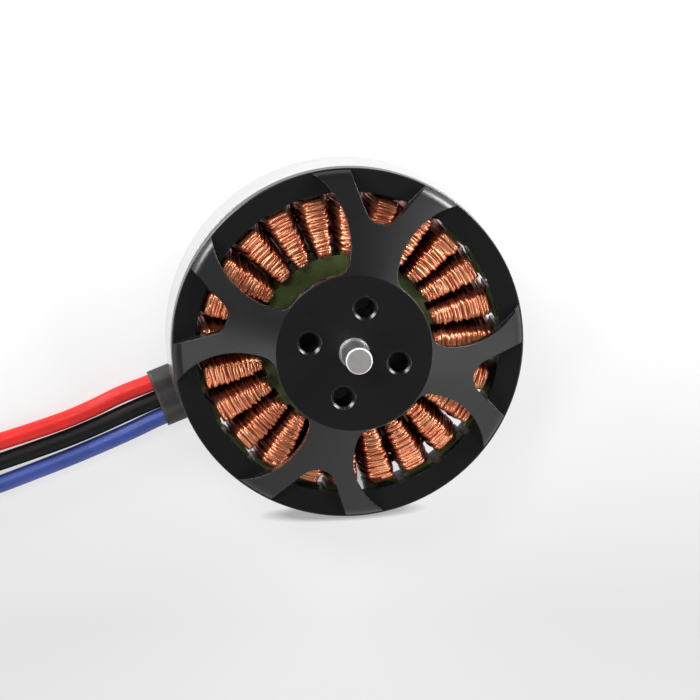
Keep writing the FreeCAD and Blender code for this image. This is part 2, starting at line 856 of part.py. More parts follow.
def make_plug(colour, end, heading):
    """Bullet plug and its heat-shrink cover in line with the lead's last run."""
    cover_back = end - heading * SIZES["plug_start"]
    place = Placement(cover_back, Rotation(Vector(1, 0, 0), heading))
    plug = turned(
        f"plug_{colour}",
        [
            ("plug_start", "base_bottom"),
            ("plug_start", "plug_cup_radius"),
            ("plug_cup_end", "plug_cup_radius"),
            ("plug_cup_end", "plug_neck_radius"),
            ("plug_collar_start", "plug_neck_radius"),
            ("plug_collar_start", "plug_cup_radius"),
            ("plug_collar_end", "plug_cup_radius"),
            ("plug_collar_end", "plug_neck_radius"),
            ("plug_bulge_start", "plug_bulge_radius"),
            ("plug_bulge_end", "plug_bulge_radius"),
            ("plug_tip_start", "plug_neck_radius"),
            ("plug_end", "plug_tip_radius"),
            ("plug_end", "base_bottom"),
        ],
        axis="H_Axis",
    )
    cover = turned(
        f"plug_cover_{colour}",
        [
            ("cover_start", "cover_bore"),
            ("cover_start", "cover_neck_radius"),
            ("cover_swell", "cover_neck_radius"),
            ("cover_full", "cover_radius"),
            ("cover_end", "cover_radius"),
            ("cover_end", "cover_cup_bore"),
            ("plug_start", "cover_cup_bore"),
            ("plug_start", "cover_bore"),
        ],
        axis="H_Axis",
    )
    plug.Placement = place
    cover.Placement = place


def make_lead(colour):
    level = SIZES["lead_level"]
    start = beside_sleeve_axis(SIZES["lead_start"], colour, level)
    bend = beside_sleeve_axis(LEAD_BEND_START, colour, level)
    points = [start, bend] + [Vector(*spot) for spot in LEAD_ROUTES[colour]]
    make_tube(f"lead_{colour}", points, SIZES["lead_radius"])
    heading = (points[-1] - points[-2]).normalize()
    make_plug(colour, points[-1], heading)

    place = SIZES["tail_place"]
    tail = [
        start,
        beside_sleeve_axis(place, colour, level),
        beside_sleeve_axis(place, colour, SIZES["coil_bottom"]),
    ]
    make_tube(f"phase_tail_{colour}", tail, SIZES["tail_radius"], SIZES["tail_bend"])


def write_steps():
    """Check every object and sub-part, then write one STEP file for each sub-part."""
    DOC.recompute()
    for item in DOC.Objects:
        if {"Invalid", "Error"} & set(item.State):
            raise RuntimeError(f"{item.Label}: {item.State}")
    for part in SUB_PARTS:
        if part.Shape.isNull() or not part.Shape.isValid() or not part.Shape.Solids:
            raise RuntimeError(f"{part.Label} has no valid solid")
    os.makedirs("parts", exist_ok=True)
    for part in SUB_PARTS:
        part.Shape.exportStep(f"parts/{part.Label}.step")
        solids, volume = len(part.Shape.Solids), part.Shape.Volume
        print(f"{part.Label}: {solids} solids, {volume:.1f} mm3")


fill_sheet()
make_bell()
make_rotor_turned_parts()
make_magnets("magnets_north", 0.0)
make_magnets("magnets_south", 180 / SIZES["magnet_pairs"])
make_bearing("lower")
make_bearing("upper")
make_base()
make_core()
for tooth_index in range(SIZES["tooth_count"]):
    make_coil(tooth_index)
make_sleeve()
for lead_colour in LEAD_ROUTES:
    make_lead(lead_colour)
write_steps()
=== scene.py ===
import json
import math

import bpy
import numpy as np
from mathutils import Matrix, Vector


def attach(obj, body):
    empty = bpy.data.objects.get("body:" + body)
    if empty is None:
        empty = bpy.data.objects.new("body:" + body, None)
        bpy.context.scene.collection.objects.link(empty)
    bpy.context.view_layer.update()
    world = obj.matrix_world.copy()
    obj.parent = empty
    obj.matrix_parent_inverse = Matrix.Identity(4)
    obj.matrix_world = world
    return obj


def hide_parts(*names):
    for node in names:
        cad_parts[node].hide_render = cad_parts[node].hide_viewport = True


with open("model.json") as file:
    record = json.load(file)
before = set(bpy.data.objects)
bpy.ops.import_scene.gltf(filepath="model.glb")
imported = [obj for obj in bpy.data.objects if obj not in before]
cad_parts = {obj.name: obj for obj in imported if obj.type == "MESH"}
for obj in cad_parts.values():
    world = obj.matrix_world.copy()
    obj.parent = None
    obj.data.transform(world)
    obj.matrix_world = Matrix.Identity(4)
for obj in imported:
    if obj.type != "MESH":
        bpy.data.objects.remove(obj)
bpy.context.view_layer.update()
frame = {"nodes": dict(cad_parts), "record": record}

MM = 0.001
COLOURS = ("red", "black", "blue")
LEAD_RADIUS = 1.15 * MM

# Axis directions of the sleeve: outward from the shaft, and towards the red lead.
SLEEVE_ANGLE = math.radians(201.6)
SLEEVE_OUT = Vector((math.cos(SLEEVE_ANGLE), math.sin(SLEEVE_ANGLE), 0))
SLEEVE_SIDE = Vector((SLEEVE_OUT.y, -SLEEVE_OUT.x, 0))

# From the motor towards the camera.
CAMERA_AWAY = (-0.105, 0.175, 0.979)
CAMERA_DISTANCE = 1.2
CAMERA_LENS = 474.7
SHOULDER_HEIGHT = 15.3 * MM
# How far the middle of the view lies right of and below the centre of the bell's shoulder.
AIM_RIGHT, AIM_DOWN = 0.273 * MM, 0.949 * MM

# Soft boxes: name, distance, azimuth and elevation in degrees, size, power.
SOFT_BOXES = (
    ("right_box", 1.2, 38, 11, (0.6, 0.34), 22.5),
    ("left_box", 1.2, 142, 12, (0.6, 0.36), 17.5),
    ("high_box_345", 1.3, 345, 41, (0.35, 0.35), 5.0),
    ("high_box_125", 1.3, 125, 55, (0.35, 0.35), 5.0),
    ("high_box_198", 1.3, 198, 48, (0.35, 0.35), 5.0),
)
LAMP_AIM_HEIGHT = 10 * MM

# Surround: its bright side, its level square to that side, and the heights, as the sine of
# the elevation, over which it falls to the overhead share.
WORLD_BRIGHT_SIDE = (0.58, -0.80, 0.0)
WORLD_LEVEL = 0.60
WORLD_FALL_START, WORLD_FALL_END = 0.60, 0.90
WORLD_OVERHEAD = 0.09


# ---------------------------------------------------------------- camera and light


def add_camera():
    """Long lens almost along the shaft, as the motor is seen from its propeller side."""
    away = Vector(CAMERA_AWAY).normalized()
    right = Vector((0, 1, 0)).cross(away).normalized()
    above = away.cross(right)
    target = Vector((0, 0, SHOULDER_HEIGHT)) + right * AIM_RIGHT - above * AIM_DOWN
    data = bpy.data.cameras.new("camera")
    data.lens = CAMERA_LENS
    data.sensor_width = 36
    data.clip_start, data.clip_end = 0.05, 20
    camera = bpy.data.objects.new("camera", data)
    bpy.context.collection.objects.link(camera)
    turn = Matrix((right, above, away)).transposed().to_4x4()
    camera.matrix_world = Matrix.Translation(target + away * CAMERA_DISTANCE) @ turn
    bpy.context.scene.camera = camera


def polar_place(distance, azimuth, elevation):
    """Point at this distance from the origin; both angles in degrees."""
    turn, lift = math.radians(azimuth), math.radians(elevation)
    flat = distance * math.cos(lift)
    return (flat * math.cos(turn), flat * math.sin(turn), distance * math.sin(lift))


def add_area(name, place, size, power):
    """Rectangular soft box at this place, aimed at the motor."""
    data = bpy.data.lights.new(name, "AREA")
    data.shape = "RECTANGLE"
    data.size, data.size_y = size
    data.energy = power
    lamp = bpy.data.objects.new(name, data)
    bpy.context.collection.objects.link(lamp)
    aim = Vector((0, 0, LAMP_AIM_HEIGHT)) - Vector(place)
    lamp.location = place
    lamp.rotation_euler = aim.to_track_quat("-Z", "Y").to_euler()


def new_node_tree(owner):
    """Empty node tree of a material or a world."""
    owner.use_nodes = True
    tree = owner.node_tree
    tree.nodes.clear()
    return tree


def add_world():
    """Studio surround: bright at the front and right, dark behind and overhead."""
    world = bpy.data.worlds.new("studio")
    bpy.context.scene.world = world
    tree = new_node_tree(world)
    nodes, links = tree.nodes, tree.links
    place = nodes.new("ShaderNodeTexCoord")
    around = nodes.new("ShaderNodeVectorMath")
    around.operation = "DOT_PRODUCT"
    around.inputs[1].default_value = WORLD_BRIGHT_SIDE
    links.new(place.outputs["Generated"], around.inputs[0])
    level = nodes.new("ShaderNodeMath")
    level.operation = "ADD"
    level.inputs[1].default_value = WORLD_LEVEL
    links.new(around.outputs["Value"], level.inputs[0])
    split = nodes.new("ShaderNodeSeparateXYZ")
    links.new(place.outputs["Generated"], split.inputs[0])
    top = nodes.new("ShaderNodeMapRange")
    top.interpolation_type = "SMOOTHSTEP"
    top.inputs["From Min"].default_value = WORLD_FALL_START
    top.inputs["From Max"].default_value = WORLD_FALL_END
    top.inputs["To Min"].default_value = 1.0
    top.inputs["To Max"].default_value = WORLD_OVERHEAD
    links.new(split.outputs["Z"], top.inputs["Value"])
    mix = nodes.new("ShaderNodeMath")
    mix.operation = "MULTIPLY"
    links.new(level.outputs[0], mix.inputs[0])
    links.new(top.outputs[0], mix.inputs[1])
    back = nodes.new("ShaderNodeBackground")
    links.new(mix.outputs[0], back.inputs["Strength"])
    out = nodes.new("ShaderNodeOutputWorld")
    links.new(back.outputs[0], out.inputs["Surface"])


# ---------------------------------------------------------------- materials


class Look:
    """A material with one Principled shader and short calls for its noise."""

    def __init__(self, name, colour, metallic, rough):
        self.material = bpy.data.materials.new(name)
        self.tree = new_node_tree(self.material)
        self.nodes, self.links = self.tree.nodes, self.tree.links
        self.shader = self.nodes.new("ShaderNodeBsdfPrincipled")
        self.set("Base Color", (*colour, 1))
        self.set("Metallic", metallic)
        self.set("Roughness", rough)
        out = self.nodes.new("ShaderNodeOutputMaterial")
        self.links.new(self.shader.outputs[0], out.inputs["Surface"])
        self.place = self.nodes.new("ShaderNodeTexCoord").outputs["Object"]
        self.normal = None

    def along(self, axis):
        """Object coordinate along X, Y or Z."""
        split = self.nodes.new("ShaderNodeSeparateXYZ")
        self.links.new(self.place, split.inputs[0])
        return split.outputs[axis]

    def set(self, socket, value):
        self.shader.inputs[socket].default_value = value

    def local(self, place, turn, size):
        """Coordinates in a patch of the object: its centre, turn in degrees and half sizes."""
        node = self.nodes.new("ShaderNodeMapping")
        node.vector_type = "TEXTURE"
        node.inputs["Location"].default_value = place
        node.inputs["Rotation"].default_value = (0, 0, math.radians(turn))
        node.inputs["Scale"].default_value = size
        self.links.new(self.place, node.inputs["Vector"])
        return node.outputs[0]

    def length(self, source):
        node = self.nodes.new("ShaderNodeVectorMath")
        node.operation = "LENGTH"
        self.links.new(source, node.inputs[0])
        return node.outputs["Value"]

    def times(self, first, second):
        node = self.nodes.new("ShaderNodeMath")
        node.operation = "MULTIPLY"
        self.links.new(first, node.inputs[0])
        self.links.new(second, node.inputs[1])
        return node.outputs[0]

    def stretched(self, scale):
        mapping = self.nodes.new("ShaderNodeMapping")
        mapping.inputs["Scale"].default_value = scale
        self.links.new(self.place, mapping.inputs["Vector"])
        return mapping.outputs[0]

    def noise(self, scale, detail, stretch=(1, 1, 1)):
        node = self.nodes.new("ShaderNodeTexNoise")
        node.inputs["Scale"].default_value = scale
        node.inputs["Detail"].default_value = detail
        self.links.new(self.stretched(stretch), node.inputs["Vector"])
        return node.outputs["Fac"]

    def rings(self, pitch):
        """Fine turning marks round the shaft axis, one every pitch metres."""
        flat = self.nodes.new("ShaderNodeCombineXYZ")
        self.links.new(self.along("X"), flat.inputs["X"])
        self.links.new(self.along("Y"), flat.inputs["Y"])
        line = self.nodes.new("ShaderNodeTexNoise")
        line.noise_dimensions = "1D"
        line.inputs["Scale"].default_value = 1 / pitch
        line.inputs["Detail"].default_value = 2
        self.links.new(self.length(flat.outputs[0]), line.inputs["W"])
        return line.outputs["Fac"]

    def ranged(self, source, low, high, from_low=0.3, from_high=0.7):
        """Straight ramp from low to high while the source goes from from_low to from_high."""
        node = self.nodes.new("ShaderNodeMapRange")
        node.inputs["From Min"].default_value = from_low
        node.inputs["From Max"].default_value = from_high
        node.inputs["To Min"].default_value = low
        node.inputs["To Max"].default_value = high
        self.links.new(source, node.inputs["Value"])
        return node.outputs[0]

    def mixed(self, source, first, second):
        """Blend of two plain colours."""
        node = self.nodes.new("ShaderNodeMix")
        node.data_type = "RGBA"
        node.inputs["A"].default_value = (*first, 1)
        node.inputs["B"].default_value = (*second, 1)
        self.links.new(source, node.inputs["Factor"])
        return node.outputs["Result"]

    def blend(self, factor, first, second):
        """Blend of two colours that come from nodes."""
        node = self.nodes.new("ShaderNodeMix")
        node.data_type = "RGBA"
        self.links.new(factor, node.inputs["Factor"])
        self.links.new(first, node.inputs["A"])
        self.links.new(second, node.inputs["B"])
        return node.outputs["Result"]

    def colour(self, source):
        self.links.new(source, self.shader.inputs["Base Color"])

    def rough(self, source):
        self.links.new(source, self.shader.inputs["Roughness"])

    def bump(self, source, depth, strength):
        node = self.nodes.new("ShaderNodeBump")
        node.inputs["Distance"].default_value = depth
        node.inputs["Strength"].default_value = strength
        self.links.new(source, node.inputs["Height"])
        if self.normal:
            self.links.new(self.normal, node.inputs["Normal"])
        self.normal = node.outputs[0]
        self.links.new(self.normal, self.shader.inputs["Normal"])

    def round_edges(self, radius):
        """Shading that rounds sharp edges; it comes before any bump."""
        node = self.nodes.new("ShaderNodeBevel")
        node.samples = 4
        node.inputs["Radius"].default_value = radius
        self.normal = node.outputs[0]
        self.links.new(self.normal, self.shader.inputs["Normal"])


def floor_look():
    """Pale table whose glow fades to the front, a painted fall of light; its colour and glow drop
    under the motor as painted shade, with a painted contact shadow along the bell's front edge.
    """
    shade_grey, pale = (0.02, 0.02, 0.02), (0.22, 0.22, 0.22)
    look = Look("floor", pale, 0.0, 0.6)
    look.set("Emission Color", (1, 1, 1, 1))
    # The glow fades towards the front: painted light falling off across the table.
    fade = look.ranged(look.along("Y"), 0.50, 0.84, -40 * MM, 32 * MM)
    # Painted shade beneath the motor: within a disc round its middle the colour turns dark grey
    # and the glow almost stops.
    beneath = look.length(look.local((0.6 * MM, 0.5 * MM, 0), 0, (1, 1, 1)))
    under = look.ranged(beneath, 0.04, 1.0, 17.6 * MM, 19.4 * MM)
    look.colour(look.mixed(under, shade_grey, pale))
    # Painted contact shadow: a thin dark patch along the bell's front edge, and a wider one that
    # joins it to the painted shade under the motor.
    slant = 1.8
    rim_shadow = look.local((1.0 * MM, -25.4 * MM, 0), slant, (10.4 * MM, 1.2 * MM, 1))
    bridge_shadow = look.local((0.8 * MM, -21.6 * MM, 0), slant, (8.0 * MM, 3.8 * MM, 1))
    link = look.ranged(look.length(bridge_shadow), 0.5, 1.0, 0.6, 1.1)
    shade = look.times(link, look.ranged(look.length(rim_shadow), 0.30, 1.0, 0.7, 1.1))
    glow = look.times(look.times(fade, under), shade)
    look.links.new(glow, look.shader.inputs["Emission Strength"])
    return look.material


def add_floor():
    """Flat table just under the motor, part of the stage and not of the object."""
    mesh = bpy.data.meshes.new("floor")
    half, drop = 1.5, 0.02 * MM
    corners = [(-half, -half, 0), (half, -half, 0), (half, half, 0), (-half, half, 0)]
    mesh.from_pydata(corners, [], [(0, 1, 2, 3)])
    floor = bpy.data.objects.new("floor", mesh)
    bpy.context.collection.objects.link(floor)
    floor.location.z = -drop
    mesh.materials.append(floor_look())


def anodised_look():
    """Black anodised aluminium of the bell and the base, with fine turning marks."""
    look = Look("black_anodised", (0.009, 0.009, 0.0095), 0.0, 0.34)
    look.set("Specular IOR Level", 0.40)
    look.round_edges(0.14 * MM)
    patches = look.ranged(look.noise(220.0, 1), 0.0, 1.0)
    look.colour(look.mixed(patches, (0.0064, 0.0064, 0.0069), (0.0070, 0.0070, 0.0075)))
    look.rough(look.ranged(look.noise(300.0, 1), 0.272, 0.288))
    look.bump(look.rings(0.09 * MM), 0.002 * MM, 0.3)
    look.bump(look.noise(3500.0, 2), 0.002 * MM, 0.25)
    return look.material


def metal_look(name, colour, rough):
    """Turned metal of the small parts."""
    look = Look(name, colour, 1.0, rough)
    look.round_edges(0.06 * MM)
    patches = look.ranged(look.noise(400.0, 4), 0.0, 1.0)
    dull = tuple(c * 0.88 for c in colour)
    look.colour(look.mixed(patches, dull, colour))
    look.rough(look.ranged(look.noise(1500.0, 3), rough * 0.8, rough * 1.25))
    look.bump(look.rings(0.08 * MM), 0.002 * MM, 0.4)
    return look.material


def shaft_look():
    """Ground steel rod with a pale bevel and a frosted end face."""
    look = Look("ground_steel", (0.62, 0.62, 0.62), 1.0, 0.3)
    look.round_edges(0.05 * MM)
    height = look.along("Z")
    end = look.ranged(height, 0.0, 1.0, 29.17 * MM, 29.19 * MM)
    steel = look.mixed(look.noise(500.0, 4), (0.56, 0.56, 0.56), (0.66, 0.65, 0.65))
    frost = look.mixed(look.noise(700.0, 4), (0.20, 0.186, 0.187), (0.25, 0.234, 0.234))
    bevel = look.ranged(height, 0.0, 1.0, 28.96 * MM, 29.0 * MM)
    pale = look.mixed(look.noise(700.0, 4), (0.50, 0.50, 0.50), (0.62, 0.62, 0.62))
    look.colour(look.blend(end, look.blend(bevel, steel, pale), frost))
    look.links.new(look.ranged(bevel, 1.0, 0.25, 0, 1), look.shader.inputs["Metallic"])
    look.rough(look.ranged(bevel, 0.34, 0.6, 0, 1))
    look.bump(look.noise(1500.0, 2, (1.0, 1.0, 0.05)), 0.003 * MM, 0.15)
    return look.material


def copper_look():
    """Enamelled copper wire, with painted shade that darkens it low in the slots."""
    look = Look("copper_wire", (0.86, 0.33, 0.165), 0.8, 0.36)
    patches = look.ranged(look.noise(700.0, 4), 0.0, 1.0, 0.35, 0.65)
    bright = look.mixed(patches, (0.82, 0.26, 0.125), (1.0, 0.46, 0.25))
    # Painted shade: lower down a winding the colour blends into a dark copy of the copper,
    # standing in for the shade between the windings.
    depth = look.ranged(look.along("Z"), 1.0, 0.0, 9.5 * MM, 14.5 * MM)
    shade_copper = look.mixed(patches, (0.50, 0.085, 0.03), (0.64, 0.13, 0.045))
    look.colour(look.blend(depth, bright, shade_copper))
    look.rough(look.ranged(look.noise(1800.0, 3), 0.30, 0.44))
    look.set("Coat Weight", 0.3)
    look.set("Coat Roughness", 0.2)
    look.bump(look.noise(2500.0, 3), 0.012 * MM, 0.4)
    return look.material


def copper_shade_look():
    """Deeper layers of a winding, in a dark copy of the copper: painted shade seen between the
    outer turns.
    """
    look = Look("copper_depth", (0.30, 0.075, 0.035), 0.6, 0.45)
    patches = look.ranged(look.noise(1200.0, 3), 0.0, 1.0)
    look.colour(look.mixed(patches, (0.22, 0.05, 0.024), (0.44, 0.12, 0.055)))
    look.rough(look.ranged(look.noise(2000.0, 3), 0.35, 0.5))
    return look.material


def green_look():
    """Green insulating coat of the laminated core."""
    look = Look("green_coat", (0.05, 0.07, 0.02), 0.0, 0.3)
    look.set("Specular IOR Level", 0.6)
    look.round_edges(0.12 * MM)
    patches = look.ranged(look.noise(350.0, 4), 0.0, 1.0)
    look.colour(look.mixed(patches, (0.050, 0.068, 0.019), (0.092, 0.118, 0.038)))
    look.rough(look.ranged(look.noise(900.0, 3), 0.22, 0.42))
    look.bump(look.noise(900.0, 4), 0.03 * MM, 0.6)
    return look.material


def soft_look(name, dark, light, rough, grain=1500.0, depth=0.01, specular=0.5):
    """Rubber, shrink tube or epoxy; depth is the height of its grain in millimetres."""
    look = Look(name, light, 0.0, rough)
    look.set("Specular IOR Level", specular)
    patches = look.ranged(look.noise(260.0, 4), 0.0, 1.0)
    look.colour(look.mixed(patches, dark, light))
    look.rough(look.ranged(look.noise(700.0, 3), rough * 0.85, rough * 1.15))
    look.bump(look.noise(grain, 3), depth * MM, 0.5)
    return look.material


def ring_steel_look():
    """Ground steel of the magnet ring, with fine marks that run round it."""
    look = Look("polished_steel", (0.78, 0.78, 0.77), 1.0, 0.16)
    look.round_edges(0.08 * MM)
    lines = look.noise(2600.0, 3, (0.02, 0.02, 1.0))
    look.colour(look.mixed(look.ranged(lines, 0.0, 1.0), (0.66, 0.66, 0.655), (0.82, 0.82, 0.81)))
    look.rough(look.ranged(lines, 0.12, 0.24))
    look.bump(lines, 0.003 * MM, 0.5)
    return look.material


LOOKS = {
    "black_anodised": anodised_look(),
    "polished_steel": ring_steel_look(),
    "black_epoxy": soft_look("black_epoxy", (0.010, 0.010, 0.010), (0.018, 0.018, 0.018), 0.4),
    "ground_steel": shaft_look(),
    "spring_steel": metal_look("spring_steel", (0.14, 0.14, 0.15), 0.35),
    "bearing_steel": metal_look("bearing_steel", (0.64, 0.64, 0.66), 0.16),
    "gold_plate": metal_look("gold_plate", (0.92, 0.66, 0.26), 0.18),
    "green_coat": green_look(),
    "copper_wire": copper_look(),
    # Dark copy of the copper, painting the shade deep in the windings.
    "copper_depth": copper_shade_look(),
    "shrink_sleeve": soft_look(
        "shrink_sleeve", (0.022, 0.0205, 0.020), (0.034, 0.032, 0.031), 0.55, 900, 0.03, 0.4
    ),
    "silicone_red": soft_look(
        "silicone_red", (0.54, 0.014, 0.011), (0.68, 0.02, 0.016), 0.42, specular=0.32
    ),
    "silicone_black": soft_look(
        "silicone_black", (0.005, 0.005, 0.005), (0.008, 0.008, 0.008), 0.5, specular=0.16
    ),
    "silicone_blue": soft_look(
        "silicone_blue", (0.028, 0.048, 0.22), (0.04, 0.07, 0.30), 0.42, specular=0.4
    ),
    "shrink_red": soft_look("shrink_red", (0.42, 0.012, 0.01), (0.52, 0.02, 0.015), 0.5),
    "shrink_black": soft_look("shrink_black", (0.014, 0.014, 0.014), (0.022, 0.022, 0.022), 0.5),
    "shrink_blue": soft_look("shrink_blue", (0.02, 0.035, 0.22), (0.028, 0.05, 0.30), 0.5),
}


def dress_cad():
    """Give each CAD node that stays visible the look of its material slot."""
    for part in frame["record"]["subparts"]:
        node = frame["nodes"][part["node"]]
        node.data.materials.clear()
        node.data.materials.append(LOOKS[part["material_slot"]])


# ---------------------------------------------------------------- shapes


def new_object(name, verts, faces, look):
    """Smooth mesh object from points and faces, with one of LOOKS."""
    mesh = bpy.data.meshes.new(name)
    mesh.from_pydata([tuple(v) for v in verts], [], faces)
    mesh.polygons.foreach_set("use_smooth", [True] * len(mesh.polygons))
    mesh.materials.append(LOOKS[look])
    obj = bpy.data.objects.new(name, mesh)
    bpy.context.collection.objects.link(obj)
    return obj


def tube_rings(path, side, radius, sides):
    """Rings of points round an open path; side is a direction across it everywhere."""
    path = np.asarray(path)
    along = np.gradient(path, axis=0)
    along /= np.linalg.norm(along, axis=1)[:, None]
    across = side - along * (along @ side)[:, None]
    across /= np.linalg.norm(across, axis=1)[:, None]
    other = np.cross(along, across)
    angles = np.linspace(0, 2 * math.pi, sides, endpoint=False)
    ring = (
        np.cos(angles)[None, :, None] * across[:, None, :]
        + np.sin(angles)[None, :, None] * other[:, None, :]
    )
    return path[:, None, :] + radius * ring


def ring_faces(count, sides, first=0):
    """Four-sided faces between neighbouring rings, counted from point first."""
    faces = []
    for i in range(count - 1):
        for j in range(sides):
            k = (j + 1) % sides
            a, b = first + i * sides, first + (i + 1) * sides
            faces.append((a + j, a + k, b + k, b + j))
    return faces


def capped_tube(path, side, radius, sides, first):
    """Closed tube round a path: its points, and its faces counted from point first."""
    points = tube_rings(path, side, radius, sides).reshape(-1, 3)
    faces = ring_faces(len(path), sides, first)
    faces.append(tuple(first + j for j in range(sides - 1, -1, -1)))
    end = first + (len(path) - 1) * sides
    faces.append(tuple(end + j for j in range(sides)))
    return points, faces


def smooth_noise(rng, count, spacing):
    """Random wave of this many samples that changes over about spacing samples."""
    knots = rng.normal(size=max(4, int(count / spacing) + 3))
    places = np.linspace(0, len(knots) - 1.001, count)
    low = places.astype(int)
    part = places - low
    part = part * part * (3 - 2 * part)
    return knots[low] * (1 - part) + knots[low + 1] * part


# ---------------------------------------------------------------- windings

# Millimetres and degrees, in the motor's own frame.
COIL_COUNT = 24
COIL_PITCH = 360.0 / COIL_COUNT
COIL_TURN = -1.2
COIL_START, COIL_END = 11.42, 19.22
COIL_LOW, COIL_HIGH = 4.32, 14.88
BODY_TOP = 9.0
SHOULDER = 0.42
# Half widths of a winding's crown and body at three radii.
COIL_STATIONS = (COIL_START, 15.2, COIL_END)
CROWN_HALVES = (1.08, 1.46, 1.72)
BODY_HALVES = (1.52, 2.04, 2.46)

WIRE = 0.205
WIRE_SIDES = 6
UNDER_TURNS, OVER_TURNS = 18.5, 9.0
OVER_START, OVER_END = COIL_END - 0.5, 12.4
CORE_INSET, CORE_END_GAP = 0.40, 0.1
WINDING_SEED = 4100
# Points in one turn of wire, and the lengths of three random waves in such points.
LOOP_SAMPLES = 32
SLOW_WAVE, TURN_WAVE, FINE_WAVE = 1.6 * LOOP_SAMPLES, 0.5 * LOOP_SAMPLES, 0.2 * LOOP_SAMPLES
TURN_JITTER, FINE_SAG = 0.3, 0.7
# The turns draw in at both ends of a winding, less at its inner end.
END_PINCH, INNER_SHARE = 0.22, 0.6
OUTER_FADE, INNER_FADE = 0.45, 0.4
CROWN_LEAN, LEAN_SPAN = 0.09, 6.0

# Half a winding's section from the middle of its crown down to the middle of its underside:
# share of the crown's half width, share of the body's, millimetres across, height.
SECTION = [
    (0.0, 0.0, 0.0, COIL_HIGH),
    (0.5, 0.0, 0.0, COIL_HIGH - 0.02),
    (1.0, 0.0, -1.0 * SHOULDER, COIL_HIGH - 0.06),
    (1.0, 0.0, -0.5 * SHOULDER, COIL_HIGH - 0.12),
    (1.0, 0.0, -0.13 * SHOULDER, COIL_HIGH - 0.28),
    (1.0, 0.0, 0.0, COIL_HIGH - 0.52),
    (0.7, 0.3, 0.0, 12.9),
    (0.3, 0.7, 0.0, 11.0),
    (0.0, 1.0, 0.0, BODY_TOP),
    (0.0, 1.0, 0.0, 7.2),
    (0.0, 1.0, 0.0, 5.6),
    (0.0, 0.8, 0.0, 4.7),
    (0.0, 0.4, 0.0, COIL_LOW + 0.03),
    (0.0, 0.0, 0.0, COIL_LOW),
]


def section_points(share, x, inset):
    """Points round a winding's section, narrower at its crown, for shares of a turn."""
    stations = np.linspace(0, 0.5, len(SECTION))
    part = np.mod(share, 1.0)
    side = np.where(part < 0.5, 1.0, -1.0)
    part = np.minimum(part, 1.0 - part)
    crown, body, across, height = (np.interp(part, stations, column) for column in zip(*SECTION))
    y = crown * (np.interp(x, COIL_STATIONS, CROWN_HALVES) - inset)
    y = y + body * (np.interp(x, COIL_STATIONS, BODY_HALVES) - inset) + across
    middle, tall = (COIL_HIGH + COIL_LOW) / 2, (COIL_HIGH - COIL_LOW) / 2
    return side * y, middle + (height - middle) * (tall - inset) / tall


def wound_layer(rng, turns, first, last, inset, jitter, rise):
    """Path of one layer of wire, wound from radius first to radius last.

    The layer lies inset under the winding's outline. jitter moves turns along the tooth,
    and rise presses them in here and there.
    """
    count = int(turns * LOOP_SAMPLES)
    share = np.linspace(0, turns, count)
    x = first + (last - first) * share / turns
    x = x + smooth_noise(rng, count, SLOW_WAVE) * jitter
    x = x + smooth_noise(rng, count, TURN_WAVE) * jitter * TURN_JITTER
    x = np.clip(x, COIL_START + WIRE, COIL_END - WIRE)
    sag = np.abs(smooth_noise(rng, count, TURN_WAVE)) * rise
    sag = sag + np.abs(smooth_noise(rng, count, FINE_WAVE)) * rise * FINE_SAG
    outer_end = np.exp(-(((COIL_END - x) / OUTER_FADE) ** 2))
    inner_end = np.exp(-(((x - COIL_START) / INNER_FADE) ** 2))
    pinch = END_PINCH * (outer_end + INNER_SHARE * inner_end)
    y, z = section_points(share, x, inset + sag + pinch)
    return np.stack([x, y, z], axis=1)


def wound_core(inset):
    """Closed block just under the outer turns, as points and faces."""
    sides = 2 * len(SECTION) - 2
    shares = np.linspace(0, 1, sides, endpoint=False)
    verts = []
    stations = np.linspace(COIL_START + CORE_END_GAP, COIL_END - CORE_END_GAP, 4)
    for x in stations:
        y, z = section_points(shares, x, inset)
        verts += [(x, a, b) for a, b in zip(y, z)]
    faces = ring_faces(len(stations), sides)
    faces.append(tuple(range(sides - 1, -1, -1)))
    last = sides * (len(stations) - 1)
    faces.append(tuple(last + j for j in range(sides)))
    return np.array(verts), faces


def make_winding(index):
    """Two layers of turns round one tooth, over a core in dark copper that paints the shade
    between the turns; the crown leans a little.
    """
    rng = np.random.default_rng(WINDING_SEED + index)
    along = np.array([1.0, 0, 0])
    start = COIL_START + WIRE + rng.uniform(0, 0.1)
    under = wound_layer(
        rng, UNDER_TURNS, start, COIL_END - WIRE, inset=WIRE + 0.08, jitter=0.07, rise=0.10
    )
    over = wound_layer(
        rng, OVER_TURNS, OVER_START, OVER_END, inset=WIRE - 0.04, jitter=0.13, rise=0.12
    )
    under_points, faces = capped_tube(under, along, WIRE, WIRE_SIDES, 0)
    over_points, over_faces = capped_tube(over, along, WIRE, WIRE_SIDES, len(under_points))
    faces += over_faces
    wire_faces = len(faces)
    core_points, core_faces = wound_core(CORE_INSET)
    first = len(under_points) + len(over_points)
    faces += [tuple(first + j for j in face) for face in core_faces]

    turn = math.radians(COIL_TURN + COIL_PITCH * index)
    points = np.concatenate([under_points, over_points, core_points])
    lean = rng.normal() * CROWN_LEAN
    points[:, 1] += lean * np.clip((points[:, 2] - BODY_TOP) / LEAN_SPAN, 0, 1)
    points *= MM
    c, s = math.cos(turn), math.sin(turn)
    x = points[:, 0] * c - points[:, 1] * s
    y = points[:, 0] * s + points[:, 1] * c
    name = f"winding_{index + 1:02d}"
    obj = new_object(name, np.stack([x, y, points[:, 2]], axis=1), faces, "copper_wire")
    # The core takes the dark copy of the copper: painted shade between the outer turns.
    obj.data.materials.append(LOOKS["copper_depth"])
    for polygon in obj.data.polygons[wire_faces:]:
        polygon.material_index = 1
    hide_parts(f"coil_{index + 1:02d}")
    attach(obj, "stator")


